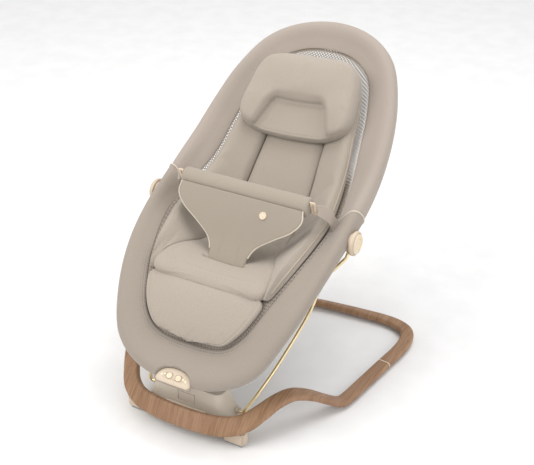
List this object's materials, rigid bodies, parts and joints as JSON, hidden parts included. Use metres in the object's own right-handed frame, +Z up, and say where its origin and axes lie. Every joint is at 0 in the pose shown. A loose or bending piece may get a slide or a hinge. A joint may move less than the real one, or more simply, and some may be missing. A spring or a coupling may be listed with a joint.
{
  "type": "bouncer seat",
  "caption": "Padded oval infant bouncer seat on a bent spring wire over a wood-look floor frame, with harness, head pillow and a vibration control unit.",
  "frame": {"origin": "middle of the object's footprint on the floor", "axes": "+Z up, +Y from the foot end to the head end, +X to the seated child's left"},
  "size_m": [0.575, 0.7053, 0.6263],
  "materials": {
    "wood_band": "satin walnut-look veneer",
    "cream_plastic": "matte cream",
    "grey_rubber": "matte light grey",
    "dark_plastic": "matte dark grey",
    "gold_wire": "satin gold",
    "steel": "plain steel",
    "board": "green circuit board",
    "taupe_knit": "fine taupe knit",
    "mesh_cloth": "open mesh",
    "beige_cloth": "soft beige cloth"
  },
  "bodies": {
    "base": {"base_band_front": "wood_band", "base_band_rear": "wood_band", "band_joint_ring_R": "cream_plastic", "band_joint_ring_L": "cream_plastic", "band_bracket": "dark_plastic", "front_foot_R": "cream_plastic", "front_foot_L": "cream_plastic", "foot_sole_R": "grey_rubber", "foot_sole_L": "grey_rubber", "rail_pad_R": "grey_rubber", "rail_pad_L": "grey_rubber", "rear_foot": "grey_rubber", "pedestal_shell": "cream_plastic", "pedestal_floor": "cream_plastic", "wire_clamp": "dark_plastic", "wire_bush_R": "dark_plastic", "wire_bush_L": "dark_plastic", "access_cover": "cream_plastic"},
    "spring_frame": {"spring_wire": "gold_wire", "hub_housing_R": "cream_plastic", "hub_housing_L": "cream_plastic", "button_spring_R": "steel", "button_spring_L": "steel"},
    "button_R": {"recline_button_R": "cream_plastic"},
    "button_L": {"recline_button_L": "cream_plastic"},
    "seat": {"hub_boss_R": "dark_plastic", "hub_boss_L": "dark_plastic", "rim_pad_lower": "taupe_knit", "rim_pad_upper": "taupe_knit", "seat_tube_lower": "steel", "seat_tube_upper": "steel", "mesh_sling": "mesh_cloth", "leg_cushion": "beige_cloth", "seat_cushion": "beige_cloth", "back_cushion": "beige_cloth", "side_bolster_R": "beige_cloth", "side_bolster_L": "beige_cloth", "side_wing_R": "beige_cloth", "side_wing_L": "beige_cloth", "head_pillow": "beige_cloth", "side_strap_R": "taupe_knit", "side_strap_L": "taupe_knit", "crotch_strap": "taupe_knit", "control_case": "cream_plastic", "control_panel": "cream_plastic", "control_board": "board", "vibration_motor": "steel", "battery_pack": "dark_plastic"},
    "harness": {"harness_roll": "taupe_knit", "crotch_panel": "taupe_knit", "slot_buckle_R": "cream_plastic", "slot_buckle_L": "cream_plastic", "panel_stud": "cream_plastic"},
    "power_key": {"power_button": "gold_wire"},
    "mode_key": {"mode_button": "gold_wire"},
    "weight": {"motor_weight": "steel"}
  },
  "joints": [
    {"name": "bounce", "type": "hinge", "parent": "base", "child": "spring_frame", "pos_m": [0, -0.265, 0.046], "axis": [1, 0, 0], "range_deg": [-3, 3], "stiffness_Nm_per_rad": 300},
    {"name": "recline", "type": "hinge", "parent": "spring_frame", "child": "seat", "pos_m": [0, -0.042, 0.344], "axis": [-1, 0, 0], "range_deg": [0, 18]},
    {"name": "recline_press_R", "type": "slide", "parent": "spring_frame", "child": "button_R", "axis": [-1, 0, 0], "range_m": [0, 0.003], "stiffness_N_per_m": 600},
    {"name": "recline_press_L", "type": "slide", "parent": "spring_frame", "child": "button_L", "axis": [1, 0, 0], "range_m": [0, 0.003], "stiffness_N_per_m": 600},
    {"name": "harness_open", "type": "hinge", "parent": "seat", "child": "harness", "pos_m": [0, -0.141, 0.284], "axis": [1, 0, 0], "range_deg": [0, 30]},
    {"name": "power_press", "type": "slide", "parent": "seat", "child": "power_key", "axis": [0, 0.6428, -0.766], "range_m": [0, 0.001], "stiffness_N_per_m": 400},
    {"name": "mode_press", "type": "slide", "parent": "seat", "child": "mode_key", "axis": [0, 0.6428, -0.766], "range_m": [0, 0.001], "stiffness_N_per_m": 400},
    {"name": "motor_spin", "type": "hinge", "parent": "seat", "child": "weight", "pos_m": [-0.014, -0.33438, 0.12632], "axis": [1, 0, 0], "continuous": true}
  ]
}
